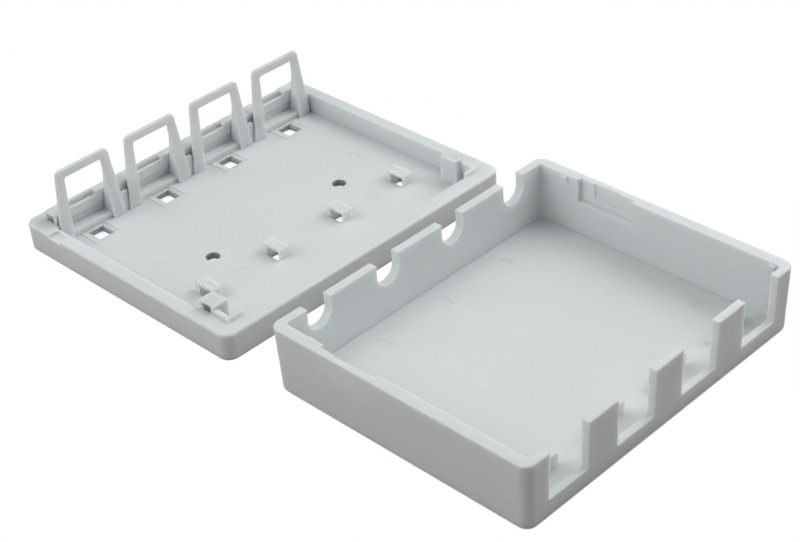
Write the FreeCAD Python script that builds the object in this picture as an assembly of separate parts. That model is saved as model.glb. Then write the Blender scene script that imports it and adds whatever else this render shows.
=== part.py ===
import FreeCAD, Part
import math
import os

from FreeCAD import Vector

# Surface box for four data outlets: an open wall tray and the clip-on cover that lies beside it.
# Both are single mouldings in pale grey ABS, in millimetres, with +Z up.
# X runs along the row of outlets and Y from the cover to the outlet edge of the tray.

# Whole box, whose width follows from the row of outlets
box_depth = 92.0
wall = 2.3
gap_between_pieces = 17.3
draft_deg = 1.0

# Row of outlets: the gap between two frames, and from the last frame's foot to the side rim
outlet_count = 4
frame_gap = 1.6
end_gap = 0.6

# Tray rim
rim_height = 8.8
tray_corner_radius = 3.5
tray_pocket_radius = 0.8
side_rim = 4.2
rear_rim = 5.0
tray_foot_round = 0.7
tray_edge_round = 0.8
pry_slot_start = 74.5
pry_slot_length = 5.5
pry_slot_depth = 1.0

# Block along the outlet edge, with the raised strip on top of it
front_block = 9.4
strip_height = 2.8
strip_depth = 4.6
strip_skin = 1.05
end_block_fit = 0.25
end_mouth_inset = 1.3
end_core_depth = 1.45
web_set_back = 0.9
web_above_rim = 0.3

# Sill, bar and slot at each outlet
sill_height = 2.0
sill_set_back = 1.2
bar_thickness = 1.0
bar_height = 3.2
bar_drop = 1.15
bar_undercut = 0.8
slot_gap = 0.95
slot_wall = 0.65
slot_depth = 1.4
slot_half = 5.0

# Upright frames that hold the outlets
frame_height = 23.9
frame_foot_half = 12.2
frame_head_half = 9.45
frame_plate = 1.0
frame_lean_deg = 2.15
frame_set_back = 2.3
frame_corner_radius = 1.6
aperture_half_bottom = 7.6
aperture_half_top = 7.05
aperture_height = 19.3
aperture_corner_run = 0.35
aperture_corner_rise = 0.8
cheek = 1.2
cheek_foot_depth = 5.0
cheek_head_depth = 1.15
cheek_middle_depth = 2.75
cheek_middle_height = 7.7
cheek_straight_height = 14.7
cheek_clearance = 0.35

# Square tooling holes in front of the frames, with a low ridge at each side
square_hole_width = 5.6
square_hole_length = 6.5
square_hole_from_sill = 0.5
ridge_offset = 4.5
ridge_width = 0.5
ridge_length = 8.0
ridge_height = 0.3

# Cable tie saddles
saddle_from_rear = 23.6
saddle_length = 7.6
saddle_width = 3.5
saddle_height = 3.7
saddle_near_wall = 0.7
saddle_far_wall = 1.8
saddle_bridge = 1.4
saddle_groove_radius = 3.0
saddle_hole_width = 4.7

# Wall screw holes
screw_hole = 4.3
screw_spacing = 52.0
screw_from_rear = 40.9
screw_edge_chamfer = 0.25

# Catch blocks and corner ribs at the rear of the tray
left_catch_width = 5.2
right_catch_width = 3.5
catch_length = 6.4
catch_height = 2.4
catch_from_rear = 10.7
catch_mouth_from_rear = 12.1
catch_mouth_length = 3.5
catch_mouth_height = 1.9
catch_wall = 1.0
catch_roof = 0.9
corner_rib = 1.2
corner_rib_height = 1.3
corner_rib_run = 5.0

# Grooves that core the thick rims from below
rear_groove_width = 1.6
front_groove_width = 2.4
groove_skin = 1.8
groove_roof = 2.0

# Cover
cover_height = 20.5
cover_margin = 1.45
cover_side_wall = 3.5
cover_notch_wall = 2.85
cover_port_wall = 2.4
cover_corner_radius = 3.2
cover_pocket_radius = 1.0
cover_draft_deg = 1.6
cover_edge_round = 1.0
cover_rim_round = 0.4
cover_fit = 0.4

# Cable notches and outlet windows in the cover
notch_width = 8.6
notch_depth = 8.1
window_width = 14.7
window_sill = 5.7

# Knock-out recesses in the cover's side walls
recess_from_notch_wall = 17.3
recess_length = 19.3
recess_bottom = 13.4
recess_skin = 2.2
recess_step_inset = 5.0
recess_step_rise = 2.0
recess_step_skin = 1.85
recess_bevel = 0.5

# Clip bumps and backing ribs inside the cover
bump_length = 1.9
bump_reach = 0.95
bump_base = 1.9
bump_flat = 0.5
bump_below_rim = 0.15
rib_thickness = 1.2
rib_height = 4.0
rib_half_width = 7.1
rib_clearance = 0.25

# Ejector marks, shallow rings left by the moulding tool
ejector_radius = 2.5
ejector_depth = 0.12
tray_ejectors = [(26.4, 27.7), (39.5, 48.8)]
cover_ejectors = [(0.0, 10.5), (25.0, 11.2), (44.5, 24.5), (44.5, 67.3)]

# Worked out from the sizes above
outlet_pitch = 2 * frame_foot_half + frame_gap
box_width = (outlet_count - 1) * outlet_pitch + 2 * (frame_foot_half + end_gap + side_rim)
cover_width = box_width - 2 * cover_margin
cover_depth = box_depth - 2 * cover_margin
total_depth = box_depth + gap_between_pieces + cover_depth
tray_rear_y = total_depth / 2 - box_depth
cover_notch_y = tray_rear_y - gap_between_pieces
catch_face_x = cover_width / 2 - cover_side_wall - cover_fit
block_face_y = box_depth - front_block
strip_outer_y = block_face_y + strip_depth
strip_top_z = rim_height + strip_height
end_block_outer_y = box_depth - cover_margin - cover_port_wall - end_block_fit
frame_face_y = block_face_y - frame_set_back
sill_z = wall + sill_height
sill_face_y = frame_face_y + sill_set_back
bar_y = strip_outer_y - slot_wall - slot_gap - bar_thickness
bar_top_z = strip_top_z - bar_drop
bar_foot_z = bar_top_z - bar_height
undercut_y = bar_y + bar_undercut
pocket_reach = aperture_half_bottom + cheek + cheek_clearance
overlap = 0.4
outlet_xs = [(i - (outlet_count - 1) / 2) * outlet_pitch for i in range(outlet_count)]


def block(x0, x1, y0, y1, z0, z1):
    """Plain block between two opposite corners."""
    return Part.makeBox(x1 - x0, y1 - y0, z1 - z0, Vector(x0, y0, z0))


def prism(points, direction):
    """Straight extrusion of a closed outline of corner points."""
    outline = Part.makePolygon([Vector(*p) for p in points + points[:1]])
    return Part.Face(outline).extrude(Vector(*direction))


def rounded_outline(x0, x1, y0, y1, z, radius):
    """Rectangle with round corners, as a wire at height z."""
    r = radius
    k = r * (1 - math.sqrt(0.5))
    corners = [
        (Vector(x1 - r, y0, z), Vector(x1 - k, y0 + k, z), Vector(x1, y0 + r, z)),
        (Vector(x1, y1 - r, z), Vector(x1 - k, y1 - k, z), Vector(x1 - r, y1, z)),
        (Vector(x0 + r, y1, z), Vector(x0 + k, y1 - k, z), Vector(x0, y1 - r, z)),
        (Vector(x0, y0 + r, z), Vector(x0 + k, y0 + k, z), Vector(x0 + r, y0, z)),
    ]
    edges = []
    for i, (start, middle, end) in enumerate(corners):
        edges.append(Part.Arc(start, middle, end).toShape())
        edges.append(Part.LineSegment(end, corners[(i + 1) % 4][0]).toShape())
    return Part.Wire(edges)


def drafted_block(x0, x1, y0, y1, z0, z1, radius, inset):
    """Round-cornered block whose lower outline is smaller by the inset all round."""
    lower = rounded_outline(x0 + inset, x1 - inset, y0 + inset, y1 - inset, z0, radius)
    upper = rounded_outline(x0, x1, y0, y1, z1, radius)
    return Part.makeLoft([lower, upper], True, True)


def mirrored(shapes):
    """Mirror images of shapes in the plane x = 0."""
    return [s.mirror(Vector(0, 0, 0), Vector(1, 0, 0)) for s in shapes]


def both_sides(shape):
    """The shape and its mirror image in the plane x = 0."""
    return [shape] + mirrored([shape])


def fused(shapes):
    return shapes[0].multiFuse(shapes[1:])


def edges_at_height(solid, z):
    return [e for e in solid.Edges if abs(e.BoundBox.ZMin - z) < 0.01 and abs(e.BoundBox.ZMax - z) < 0.01]


def tray_shell():
    """Floor and rims, with the pocket between them cut down to the floor."""
    rise = rim_height * math.tan(math.radians(draft_deg))
    body = drafted_block(-box_width / 2, box_width / 2, 0, box_depth, 0, rim_height, tray_corner_radius, rise)
    body = body.makeFillet(tray_foot_round, edges_at_height(body, 0))
    body = body.makeFillet(tray_edge_round, edges_at_height(body, rim_height))
    pocket_half = box_width / 2 - side_rim
    pocket_draft = (rim_height - wall) * math.tan(math.radians(draft_deg))
    pocket = drafted_block(-pocket_half, pocket_half, rear_rim, block_face_y, wall, rim_height,
                           tray_pocket_radius, pocket_draft)
    lid = block(-pocket_half, pocket_half, rear_rim, block_face_y, rim_height, rim_height + 1)
    return body.cut([pocket, lid])


def front_strip():
    """Raised strip on the outlet edge, its end blocks, and the low webs between and beside the frames."""
    end_inner_x = outlet_xs[-1] + slot_half
    base_z = rim_height - overlap
    strip = block(-catch_face_x, catch_face_x, block_face_y, strip_outer_y, base_z, strip_top_z)
    ends = both_sides(block(end_inner_x, catch_face_x, block_face_y, end_block_outer_y, base_z, strip_top_z))
    web_y = frame_face_y + web_set_back
    webs = []
    for left, right in zip(outlet_xs, outlet_xs[1:]):
        webs.append(block(left + frame_foot_half - overlap, right - frame_foot_half + overlap, web_y,
                          block_face_y + overlap, wall - overlap, rim_height + web_above_rim))
    beside = block(outlet_xs[-1] + frame_foot_half - overlap, box_width / 2 - side_rim + overlap, web_y,
                   block_face_y + overlap, wall - overlap, rim_height)
    return fused([strip] + ends + webs + both_sides(beside))


def front_cuts():
    """Pocket, bar and slot at each outlet, the cores under the lands, and the mouths at the ends."""
    cuts = []
    for x in outlet_xs:
        cuts.append(block(x - pocket_reach, x + pocket_reach, block_face_y - overlap, bar_y,
                          sill_z, strip_top_z + 1))
        cuts.append(block(x - pocket_reach, x + pocket_reach, bar_y - overlap, undercut_y, sill_z, bar_foot_z))
        cuts.append(block(x - slot_half, x + slot_half, bar_y - overlap, bar_y + bar_thickness + overlap,
                          bar_top_z, strip_top_z + 1))
        cuts.append(block(x - slot_half, x + slot_half, bar_y + bar_thickness, bar_y + bar_thickness + slot_gap,
                          bar_top_z - slot_depth, strip_top_z + 1))
    core_half = outlet_pitch / 2 - pocket_reach - strip_skin
    for left, right in zip(outlet_xs, outlet_xs[1:]):
        x = (left + right) / 2
        cuts.append(block(x - core_half, x + core_half, block_face_y + strip_skin, strip_outer_y - strip_skin,
                          -1, strip_top_z - strip_skin))
    mouth_y = block_face_y + end_mouth_inset
    end_core = block(catch_face_x - end_core_depth, catch_face_x, mouth_y, mouth_y + catch_mouth_length,
                     -1, rim_height + catch_mouth_height)
    return cuts + both_sides(end_core) + both_sides(catch_mouth(mouth_y))


def catch_mouth(y):
    """Mouth through a +X catch wall, just above the rim, that a clip bump of the cover enters."""
    return block(catch_face_x - catch_wall - overlap, catch_face_x + overlap, y, y + catch_mouth_length,
                 rim_height, rim_height + catch_mouth_height)


def sill(x):
    """Step under the aperture that the outlet stands on."""
    half = frame_foot_half - (frame_foot_half - aperture_half_bottom) / 2
    return block(x - half, x + half, sill_face_y, block_face_y + overlap, wall - overlap, sill_z)


def jack_frame(x):
    """Upright frame for one outlet: leaning plate, and deep cheeks beside its aperture."""
    foot_z = wall - overlap
    head_z = wall + frame_height
    taper = (frame_foot_half - frame_head_half) / frame_height
    foot = frame_foot_half + taper * overlap
    plate = prism([(-foot, 0, foot_z), (foot, 0, foot_z), (frame_head_half, 0, head_z),
                   (-frame_head_half, 0, head_z)], (0, frame_plate, 0))
    top_edges = [e for e in plate.Edges if abs(e.BoundBox.ZMin - head_z) < 0.01 and e.BoundBox.YLength > 0.5]
    plate = plate.makeFillet(frame_corner_radius, top_edges)

    a0 = aperture_half_bottom
    a1 = aperture_half_top
    aperture_top = sill_z + aperture_height
    band = []
    for side in (-1, 1):
        band.append(prism([(side * a0, 0, foot_z), (side * (a0 + cheek), 0, foot_z),
                           (side * (a1 + cheek), 0, aperture_top), (side * a1, 0, aperture_top)],
                          (0, cheek_foot_depth + 1, 0)))
    bend_z = sill_z + cheek_straight_height
    side_view = [
        Part.LineSegment(Vector(0, 0, foot_z), Vector(0, cheek_foot_depth, foot_z)),
        Part.LineSegment(Vector(0, cheek_foot_depth, foot_z), Vector(0, cheek_foot_depth, sill_z)),
        Part.Arc(Vector(0, cheek_foot_depth, sill_z), Vector(0, cheek_middle_depth, sill_z + cheek_middle_height),
                 Vector(0, cheek_head_depth, bend_z)),
        Part.LineSegment(Vector(0, cheek_head_depth, bend_z), Vector(0, cheek_head_depth, aperture_top)),
        Part.LineSegment(Vector(0, cheek_head_depth, aperture_top), Vector(0, 0, aperture_top)),
        Part.LineSegment(Vector(0, 0, aperture_top), Vector(0, 0, foot_z)),
    ]
    profile = Part.Face(Part.Wire([s.toShape() for s in side_view]))
    flank = profile.extrude(Vector(2 * frame_foot_half, 0, 0))
    flank.translate(Vector(-frame_foot_half, 0, 0))
    cheeks = [b.common(flank) for b in band]
    frame = fused([plate] + cheeks)
    frame.rotate(Vector(0, 0, wall), Vector(1, 0, 0), -frame_lean_deg)
    frame.translate(Vector(x, frame_face_y, 0))
    return frame.cut(aperture(x))


def aperture(x):
    """Clear opening of one frame down to the floor, narrower at the top, bevelled in its upper corners."""
    a0 = aperture_half_bottom
    a1 = aperture_half_top
    top = sill_z + aperture_height
    outline = [(x - a0, frame_face_y - 1, wall), (x + a0, frame_face_y - 1, wall),
               (x + a1, frame_face_y - 1, top - aperture_corner_rise),
               (x + a1 - aperture_corner_run, frame_face_y - 1, top),
               (x - a1 + aperture_corner_run, frame_face_y - 1, top),
               (x - a1, frame_face_y - 1, top - aperture_corner_rise)]
    return prism(outline, (0, cheek_foot_depth + 1.9, 0))


def saddle(x):
    """Bridge over a floor hole, hollowed on top for the cable that a tie holds down."""
    y0 = saddle_from_rear
    y1 = saddle_from_rear + saddle_length
    half = saddle_width / 2
    top = wall + saddle_height
    body = block(x - half, x + half, y0, y1, wall - overlap, top)
    axis_z = top + math.sqrt(saddle_groove_radius ** 2 - half ** 2)
    groove = Part.makeCylinder(saddle_groove_radius, saddle_length + 2, Vector(x, y0 - 1, axis_z), Vector(0, 1, 0))
    return body.cut(groove)


def saddle_cuts(x):
    """Tunnel under the bridge and the hole through the floor below it."""
    y0 = saddle_from_rear + saddle_near_wall
    y1 = saddle_from_rear + saddle_length - saddle_far_wall
    half = saddle_hole_width / 2
    return block(x - half, x + half, y0, y1, -1, wall + saddle_height - saddle_bridge)


def square_hole(x):
    half = square_hole_width / 2
    y1 = sill_face_y - square_hole_from_sill
    return block(x - half, x + half, y1 - square_hole_length, y1, -1, wall + 1)


def hole_ridges(x):
    """Low ridges beside a square hole, running up to the sill."""
    ridges = []
    for side in (-1, 1):
        middle = x + side * ridge_offset
        ridges.append(block(middle - ridge_width / 2, middle + ridge_width / 2, sill_face_y - ridge_length,
                            sill_face_y + overlap, wall - overlap, wall + ridge_height))
    return ridges


def catch_block(width):
    """Block at the +X side that the cover's rear bump clips into."""
    return block(catch_face_x - width, catch_face_x, catch_from_rear, catch_from_rear + catch_length,
                 wall - overlap, rim_height + catch_height)


def catch_cuts(width):
    """Core that hollows the block from below, the mouth in its wall and the core below the mouth."""
    core = block(catch_face_x - width + catch_wall, catch_face_x - catch_wall, catch_from_rear + catch_wall,
                 catch_from_rear + catch_length - catch_wall, -1, rim_height + catch_height - catch_roof)
    under_mouth = block(catch_face_x - catch_wall - overlap, catch_face_x, catch_mouth_from_rear,
                        catch_mouth_from_rear + catch_mouth_length, -1, rim_height + catch_mouth_height)
    return [core, under_mouth, catch_mouth(catch_mouth_from_rear)]


def corner_walls():
    """Ribs at the +X rear corner that the cover's corner fits around, and the ledge outside them."""
    rib_y = cover_margin + cover_notch_wall + cover_fit
    top = rim_height + corner_rib_height
    pocket_half = box_width / 2 - side_rim
    ledge = block(catch_face_x - corner_rib, pocket_half + overlap, rear_rim - overlap,
                  catch_from_rear + catch_length, wall - overlap, rim_height)
    along_y = block(catch_face_x - corner_rib, catch_face_x, rib_y, catch_from_rear + overlap,
                    rim_height - overlap, top)
    along_x = block(catch_face_x - corner_rib_run, catch_face_x, rib_y, rib_y + corner_rib, wall - overlap, top)
    return [ledge, along_y, along_x]


def screw_hole_cut(x):
    """Wall screw hole with a lightly broken upper edge."""
    radius = screw_hole / 2
    centre = Vector(x, screw_from_rear, -1)
    hole = Part.makeCylinder(radius, wall + 2, centre)
    edge = Part.makeCone(radius, radius + screw_edge_chamfer, screw_edge_chamfer,
                         Vector(x, screw_from_rear, wall - screw_edge_chamfer))
    return hole.fuse(edge)


def underside_grooves():
    """Grooves that keep the wide rims at an even wall thickness."""
    roof = rim_height - groove_roof
    half = box_width / 2 - side_rim
    rear = block(-half, half, groove_skin, groove_skin + rear_groove_width, -1, roof)
    front_y = box_depth - groove_skin - front_groove_width
    front_half = outlet_xs[-1] + slot_half
    front = block(-front_half, front_half, front_y, front_y + front_groove_width, -1, roof)
    return [rear, front]


def ejector_mark(x, y, z):
    return Part.makeCylinder(ejector_radius, ejector_depth + 1, Vector(x, y, z - ejector_depth))


def base_tray():
    """Wall tray with everything moulded on it, in one piece."""
    tray = tray_shell()
    added = [front_strip()]
    cuts = front_cuts() + underside_grooves()
    for x in outlet_xs:
        added.append(sill(x))
        added.append(saddle(x))
        added.extend(hole_ridges(x))
        cuts.append(saddle_cuts(x))
        cuts.append(square_hole(x))
    right = [catch_block(right_catch_width)] + corner_walls()
    left = [catch_block(left_catch_width)] + corner_walls()
    added.extend(right + mirrored(left))
    cuts.extend(catch_cuts(right_catch_width) + mirrored(catch_cuts(left_catch_width)))
    for x in (-screw_spacing / 2, screw_spacing / 2):
        cuts.append(screw_hole_cut(x))
    for x, y in tray_ejectors:
        cuts.extend(both_sides(ejector_mark(x, y, wall)))
    cuts.append(block(-box_width / 2 - 1, -box_width / 2 + side_rim, pry_slot_start,
                      pry_slot_start + pry_slot_length, rim_height - pry_slot_depth, rim_height + 1))
    tray = tray.multiFuse(added).cut(cuts)
    tray = tray.multiFuse([jack_frame(x) for x in outlet_xs]).removeSplitter()
    tray.translate(Vector(0, tray_rear_y, 0))
    return tray


def cover_body():
    """Box of the cover, open at the top, with drafted walls and round outer edges."""
    half = cover_width / 2
    inset = cover_height * math.tan(math.radians(cover_draft_deg))
    body = drafted_block(-half, half, -cover_depth, 0, 0, cover_height, cover_corner_radius, inset)
    body = body.makeFillet(cover_edge_round, edges_at_height(body, 0))
    body = body.makeFillet(cover_rim_round, edges_at_height(body, cover_height))
    inner_half = half - cover_side_wall
    pocket = drafted_block(-inner_half, inner_half, -cover_depth + cover_port_wall, -cover_notch_wall, wall,
                           cover_height, cover_pocket_radius, inset / 2)
    return body.cut(pocket)


def cable_notch(x):
    """Round-bottomed notch in the wall where the cables come in."""
    radius = notch_width / 2
    axis_z = cover_height - notch_depth + radius
    bottom = Part.makeCylinder(radius, 3 * cover_notch_wall, Vector(x, -2 * cover_notch_wall, axis_z),
                               Vector(0, 1, 0))
    sides = block(x - radius, x + radius, -2 * cover_notch_wall, cover_notch_wall, axis_z, cover_height + 1)
    return bottom.fuse(sides)


def outlet_window(x):
    """Window in the outlet wall, open at the rim."""
    half = window_width / 2
    return block(x - half, x + half, -cover_depth - 1, -cover_depth + 2 * cover_port_wall, window_sill,
                 cover_height + 1)


def knock_out_recess():
    """Stepped recess inside the +X wall that leaves a thin panel for a cable channel."""
    face = cover_width / 2 - cover_side_wall
    y1 = -recess_from_notch_wall
    y0 = y1 - recess_length
    b = recess_bevel
    skin = cover_width / 2 - recess_skin
    step_skin = cover_width / 2 - recess_step_skin
    inner = face - 1
    top = cover_height + 1
    first = Part.makeLoft([
        Part.makePolygon([Vector(inner, y0 - b, recess_bottom - b), Vector(inner, y1 + b, recess_bottom - b),
                          Vector(inner, y1 + b, top), Vector(inner, y0 - b, top),
                          Vector(inner, y0 - b, recess_bottom - b)]),
        Part.makePolygon([Vector(skin, y0, recess_bottom), Vector(skin, y1, recess_bottom),
                          Vector(skin, y1, top), Vector(skin, y0, top), Vector(skin, y0, recess_bottom)])],
        True, True)
    second = block(inner, step_skin, y0 + recess_step_inset, y1 - recess_step_inset,
                   recess_bottom + recess_step_rise, top)
    return first.fuse(second)


def clip_bump(y):
    """Bump near the rim of the +X wall that clips into the tray."""
    face = cover_width / 2 - cover_side_wall
    top = cover_height - bump_below_rim
    middle = top - bump_base / 2
    points = [(face + overlap, y - bump_length / 2, top), (face, y - bump_length / 2, top),
              (face - bump_reach, y - bump_length / 2, middle + bump_flat / 2),
              (face - bump_reach, y - bump_length / 2, middle - bump_flat / 2),
              (face, y - bump_length / 2, top - bump_base), (face + overlap, y - bump_length / 2, top - bump_base)]
    return prism(points, (0, bump_length, 0))


def backing_rib(x):
    """Rib on the inner face that backs the outlet frame when the box is shut."""
    frame_at_rib = frame_face_y + (frame_height - wall) * math.tan(math.radians(frame_lean_deg))
    y = cover_margin - (frame_at_rib - rib_clearance)
    return block(x - rib_half_width, x + rib_half_width, y, y + rib_thickness, wall - overlap, wall + rib_height)


def cover_shell():
    """Clip-on cover, lying on its closed face with the open side up."""
    shell = cover_body()
    mouths = [catch_mouth_from_rear, block_face_y + end_mouth_inset]
    bumps_from_notch = [y + catch_mouth_length / 2 - cover_margin for y in mouths]
    cuts = both_sides(knock_out_recess())
    added = []
    for x in outlet_xs:
        cuts.append(cable_notch(x))
        cuts.append(outlet_window(x))
        added.append(backing_rib(x))
    for distance in bumps_from_notch:
        added.extend(both_sides(clip_bump(-distance)))
    for x, distance in cover_ejectors:
        marks = both_sides(ejector_mark(x, -distance, wall)) if x else [ejector_mark(x, -distance, wall)]
        cuts.extend(marks)
    shell = shell.cut(cuts).multiFuse(added).removeSplitter()
    shell.translate(Vector(0, cover_notch_y, 0))
    return shell


os.makedirs("parts", exist_ok=True)
for name, shape in (("base_tray", base_tray()), ("cover_shell", cover_shell())):
    solid = shape.Solids[0]
    print(name, len(shape.Solids), "solid", "valid" if solid.isValid() else "not valid",
          "%.1f mm3" % solid.Volume, [round(v, 2) for v in (solid.BoundBox.XMin, solid.BoundBox.XMax,
          solid.BoundBox.YMin, solid.BoundBox.YMax, solid.BoundBox.ZMin, solid.BoundBox.ZMax)])
    shape.exportStep("parts/%s.step" % name)
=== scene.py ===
import bpy
import math
from mathutils import Matrix, Vector

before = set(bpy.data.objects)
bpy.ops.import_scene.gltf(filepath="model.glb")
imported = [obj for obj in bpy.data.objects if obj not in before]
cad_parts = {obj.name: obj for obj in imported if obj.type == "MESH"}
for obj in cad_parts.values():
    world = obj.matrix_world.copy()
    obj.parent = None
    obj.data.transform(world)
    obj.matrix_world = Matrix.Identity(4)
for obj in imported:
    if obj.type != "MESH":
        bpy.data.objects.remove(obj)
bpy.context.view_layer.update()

# The tray is one injection moulding in pale grey ABS: floor, rims, outlet frames, strip,
# cable saddles and catches. The tool's fine spark-eroded grain makes it matt, and its face
# varies a little in shade where the melt cooled unevenly.
tray = bpy.data.objects["base_tray"]

abs_shade = (0.697, 0.728, 0.734, 1.0)
abs_pale = (0.742, 0.772, 0.778, 1.0)
abs_refraction = 1.53
abs_shine = 0.42
glow_spread = (1.0, 0.95, 0.9)
glow_reach = 0.0025
flow_size = 0.035
flow_detail = 4.0
smoothest = 0.42
roughest = 0.6
grain_size = 0.00022
grain_detail = 2.0
grain_depth = 0.000012
grain_strength = 0.5
edge_round = 0.00025
edge_rays = 6
# The next five values set the painted shade that darkens the colour in deep hollows and
# crevices.
painted_shade_reach = 0.003
painted_shade_shut = 0.05
painted_shade_open = 0.25
painted_shade_dimming = 0.55
painted_shade_rays = 8


def moulded_abs(name, pattern_shift):
    """Matt moulded ABS with a fine tool grain, broad flow tones and painted shade in deep
    hollows.
    """
    material = bpy.data.materials.new(name)
    material.use_nodes = True
    nodes = material.node_tree.nodes
    links = material.node_tree.links
    shader = nodes["Principled BSDF"]
    shader.inputs["IOR"].default_value = abs_refraction
    shader.inputs["Specular IOR Level"].default_value = abs_shine
    shader.inputs["Subsurface Weight"].default_value = 1.0
    shader.inputs["Subsurface Radius"].default_value = glow_spread
    shader.inputs["Subsurface Scale"].default_value = glow_reach
    place = nodes.new("ShaderNodeTexCoord")
    shift = nodes.new("ShaderNodeMapping")
    shift.inputs["Location"].default_value = pattern_shift
    links.new(place.outputs["Object"], shift.inputs["Vector"])
    flow = nodes.new("ShaderNodeTexNoise")
    flow.inputs["Scale"].default_value = 1 / flow_size
    flow.inputs["Detail"].default_value = flow_detail
    links.new(shift.outputs["Vector"], flow.inputs["Vector"])
    tone = nodes.new("ShaderNodeMix")
    tone.data_type = "RGBA"
    tone.inputs["A"].default_value = abs_shade
    tone.inputs["B"].default_value = abs_pale
    links.new(flow.outputs["Fac"], tone.inputs["Factor"])
    # Painted shade: the base colour is darkened where nearby faces shut the surface in, in deep
    # hollows and crevices.
    painted_shade_occlusion = nodes.new("ShaderNodeAmbientOcclusion")
    painted_shade_occlusion.samples = painted_shade_rays
    painted_shade_occlusion.inputs["Distance"].default_value = painted_shade_reach
    painted_shade_depth = nodes.new("ShaderNodeMapRange")
    painted_shade_depth.inputs["From Min"].default_value = painted_shade_shut
    painted_shade_depth.inputs["From Max"].default_value = painted_shade_open
    painted_shade_depth.inputs["To Min"].default_value = painted_shade_dimming
    links.new(painted_shade_occlusion.outputs["AO"], painted_shade_depth.inputs["Value"])
    painted_shade_mix = nodes.new("ShaderNodeMix")
    painted_shade_mix.data_type = "RGBA"
    painted_shade_mix.blend_type = "MULTIPLY"
    painted_shade_mix.inputs["Factor"].default_value = 1.0
    links.new(tone.outputs["Result"], painted_shade_mix.inputs["A"])
    links.new(painted_shade_depth.outputs["Result"], painted_shade_mix.inputs["B"])
    links.new(painted_shade_mix.outputs["Result"], shader.inputs["Base Color"])
    polish = nodes.new("ShaderNodeMapRange")
    polish.inputs["To Min"].default_value = smoothest
    polish.inputs["To Max"].default_value = roughest
    links.new(flow.outputs["Fac"], polish.inputs["Value"])
    links.new(polish.outputs["Result"], shader.inputs["Roughness"])
    grain = nodes.new("ShaderNodeTexNoise")
    grain.inputs["Scale"].default_value = 1 / grain_size
    grain.inputs["Detail"].default_value = grain_detail
    links.new(shift.outputs["Vector"], grain.inputs["Vector"])
    bump = nodes.new("ShaderNodeBump")
    bump.inputs["Strength"].default_value = grain_strength
    bump.inputs["Distance"].default_value = grain_depth
    links.new(grain.outputs["Fac"], bump.inputs["Height"])
    rounded = nodes.new("ShaderNodeBevel")
    rounded.samples = edge_rays
    rounded.inputs["Radius"].default_value = edge_round
    links.new(rounded.outputs["Normal"], bump.inputs["Normal"])
    links.new(bump.outputs["Normal"], shader.inputs["Normal"])
    return material


tray_shift = (0.0, 0.0, 0.0)
tray_abs = moulded_abs("tray_abs", tray_shift)
tray.data.materials.clear()
tray.data.materials.append(tray_abs)

# Two holes in the tray's floor take the wall screws. Hardly any light gets into them from the
# closed side, so their walls are painted with a dark shade in place of that missing light, while
# their broken edges stay pale.
hole_x = 0.026
hole_y = 0.0481
hole_radius = 0.00225
hole_painted_shade = (0.38, 0.39, 0.39, 1.0)
tray_nodes = tray_abs.node_tree.nodes
tray_links = tray_abs.node_tree.links
where = tray_nodes.new("ShaderNodeTexCoord")
apart = tray_nodes.new("ShaderNodeSeparateXYZ")
tray_links.new(where.outputs["Object"], apart.inputs["Vector"])
folded = tray_nodes.new("ShaderNodeMath")
folded.operation = "ABSOLUTE"
tray_links.new(apart.outputs["X"], folded.inputs[0])
flat = tray_nodes.new("ShaderNodeCombineXYZ")
tray_links.new(folded.outputs["Value"], flat.inputs["X"])
tray_links.new(apart.outputs["Y"], flat.inputs["Y"])
off_axis = tray_nodes.new("ShaderNodeVectorMath")
off_axis.operation = "DISTANCE"
off_axis.inputs[1].default_value = (hole_x, hole_y, 0.0)
tray_links.new(flat.outputs["Vector"], off_axis.inputs[0])
hole_shade_mask = tray_nodes.new("ShaderNodeMath")
hole_shade_mask.operation = "LESS_THAN"
hole_shade_mask.inputs[1].default_value = hole_radius
tray_links.new(off_axis.outputs["Value"], hole_shade_mask.inputs[0])
# Painted shade: inside the holes the plastic's colour is swapped for the dark shade.
hole_painted_shade_mix = tray_nodes.new("ShaderNodeMix")
hole_painted_shade_mix.data_type = "RGBA"
hole_painted_shade_mix.inputs["B"].default_value = hole_painted_shade
tray_colour = tray_nodes["Principled BSDF"].inputs["Base Color"]
tray_links.new(hole_shade_mask.outputs["Value"], hole_painted_shade_mix.inputs["Factor"])
tray_links.new(tray_colour.links[0].from_socket, hole_painted_shade_mix.inputs["A"])
tray_links.new(hole_painted_shade_mix.outputs["Result"], tray_colour)

# The cover is a second moulding in the same ABS, from its own tool, so its tones fall
# differently. It lies beside the tray on its closed face, with nothing holding it.
cover = bpy.data.objects["cover_shell"]
cover_shift = (0.53, 0.1961, 0.0583)
cover.data.materials.clear()
cover.data.materials.append(moulded_abs("cover_abs", cover_shift))

# A plain white sweep to stand the pieces on. To the camera it glows pure white, but for a
# painted contact shadow on the thin line where a piece touches it; to the pieces it is a dull
# matt surface that throws a bounce back on them.
floor_reach = 3.0
sweep_bounce = (0.405, 0.38, 0.36, 1.0)
sweep_roughness = 0.9
painted_contact_shadow_reach = 0.004
painted_contact_shadow_shut = 0.15
painted_contact_shadow_open = 0.42
painted_contact_shadow_dimming = 0.1
painted_contact_shadow_rays = 8
bpy.ops.object.select_all(action="DESELECT")
bpy.ops.mesh.primitive_plane_add(size=2 * floor_reach, location=(0, 0, 0))
floor = bpy.context.object
floor.name = "studio_floor"
sweep = bpy.data.materials.new("white_sweep")
sweep.use_nodes = True
sweep_nodes = sweep.node_tree.nodes
sweep_links = sweep.node_tree.links
matt = sweep_nodes["Principled BSDF"]
matt.inputs["Base Color"].default_value = sweep_bounce
matt.inputs["Roughness"].default_value = sweep_roughness
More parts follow.
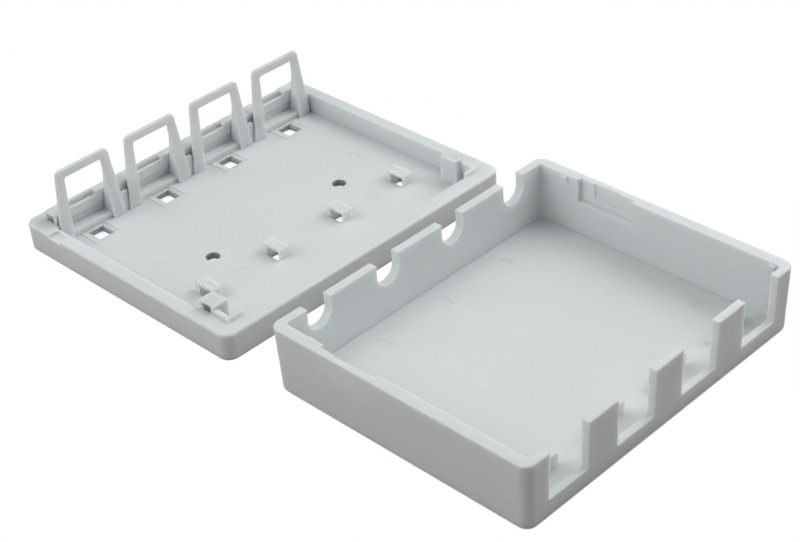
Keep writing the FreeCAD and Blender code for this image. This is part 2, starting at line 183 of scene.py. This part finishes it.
# Painted shadow: the glow the camera sees is dimmed where the pieces shut the sweep in, close to
# where they touch it.
painted_contact_occlusion = sweep_nodes.new("ShaderNodeAmbientOcclusion")
painted_contact_occlusion.samples = painted_contact_shadow_rays
painted_contact_occlusion.inputs["Distance"].default_value = painted_contact_shadow_reach
painted_contact_shadow = sweep_nodes.new("ShaderNodeMapRange")
painted_contact_shadow.inputs["From Min"].default_value = painted_contact_shadow_shut
painted_contact_shadow.inputs["From Max"].default_value = painted_contact_shadow_open
painted_contact_shadow.inputs["To Min"].default_value = painted_contact_shadow_dimming
sweep_links.new(painted_contact_occlusion.outputs["AO"], painted_contact_shadow.inputs["Value"])
sweep_glow = sweep_nodes.new("ShaderNodeEmission")
sweep_links.new(painted_contact_shadow.outputs["Result"], sweep_glow.inputs["Strength"])
first_sight = sweep_nodes.new("ShaderNodeLightPath")
seen_white = sweep_nodes.new("ShaderNodeMixShader")
sweep_links.new(first_sight.outputs["Is Camera Ray"], seen_white.inputs["Fac"])
sweep_links.new(matt.outputs["BSDF"], seen_white.inputs[1])
sweep_links.new(sweep_glow.outputs["Emission"], seen_white.inputs[2])
sweep_links.new(seen_white.outputs["Shader"], sweep_nodes["Material Output"].inputs["Surface"])
floor.data.materials.append(sweep)

# Plain studio light: four near softboxes round the pieces and a higher one at the right, so that
# the hollows stay open, all turned to the middle of the picture. Tones are taken as they are,
# with no film curve.
softbox_size = 0.7
softboxes = (
    ("softbox_low_left", (-0.6, 0.45, 0.35), 2.15),
    ("softbox_left", (-0.3, 0.3, 0.6), 1.9),
    ("softbox_front", (-0.7, -0.7, 0.7), 1.7),
    ("softbox_right", (0.45, -0.1, 0.45), 3.2),
    ("softbox_high_right", (0.56, -0.53, 0.92), 2.2),
)
for name, place, watts in softboxes:
    light = bpy.data.lights.new(name, "AREA")
    light.size = softbox_size
    light.energy = watts
    lamp = bpy.data.objects.new(name, light)
    lamp.location = place
    lamp.rotation_euler = (-Vector(place)).to_track_quat("-Z", "Y").to_euler()
    bpy.context.collection.objects.link(lamp)
bpy.context.scene.view_settings.view_transform = "Standard"

# The room behind the sweep is as white as the sweep to the camera, and throws hardly any light
# on the pieces, so that the softboxes and the bounce of the sweep do nearly all the shading.
room_tint = (0.97, 0.99, 1.0, 1.0)
room_strength = 0.02
backdrop_white = (1.0, 1.0, 1.0, 1.0)
room = bpy.data.worlds.new("studio")
bpy.context.scene.world = room
room.use_nodes = True
room_nodes = room.node_tree.nodes
room_links = room.node_tree.links
surround = room_nodes["Background"]
surround.inputs["Color"].default_value = room_tint
surround.inputs["Strength"].default_value = room_strength
backdrop = room_nodes.new("ShaderNodeBackground")
backdrop.inputs["Color"].default_value = backdrop_white
backdrop.inputs["Strength"].default_value = 1.0
first_look = room_nodes.new("ShaderNodeLightPath")
either = room_nodes.new("ShaderNodeMixShader")
room_links.new(first_look.outputs["Is Camera Ray"], either.inputs["Fac"])
room_links.new(surround.outputs["Background"], either.inputs[1])
room_links.new(backdrop.outputs["Background"], either.inputs[2])
room_links.new(either.outputs["Shader"], room_nodes["World Output"].inputs["Surface"])

# The camera looks down over the cover's near left corner, from the place where a view of
# parts this size agrees with the photograph's edges, with the same slight roll.
view_azimuth = math.radians(-43.448)
view_elevation = math.radians(34.524)
view_roll = math.radians(-4.211)
view_distance = 0.5264
view_target = Vector((0.00577, 0.00215, 0.0))
picture_width = 800
focal_pixels = 1813.9
sensor_width = 36.0
nearest_seen = 0.01
back = Vector((math.sin(view_azimuth) * math.cos(view_elevation),
               -math.cos(view_azimuth) * math.cos(view_elevation), math.sin(view_elevation)))
level = Vector((math.cos(view_azimuth), math.sin(view_azimuth), 0))
upright = back.cross(level)
right = level * math.cos(view_roll) + upright * math.sin(view_roll)
up = upright * math.cos(view_roll) - level * math.sin(view_roll)
lens = bpy.data.cameras.new("photo_view")
lens.sensor_width = sensor_width
lens.lens = focal_pixels / picture_width * sensor_width
lens.clip_start = nearest_seen
camera = bpy.data.objects.new("photo_view", lens)
turn = Matrix((right, up, back)).transposed().to_4x4()
camera.matrix_world = Matrix.Translation(view_target + back * view_distance) @ turn
bpy.context.collection.objects.link(camera)
bpy.context.scene.camera = camera
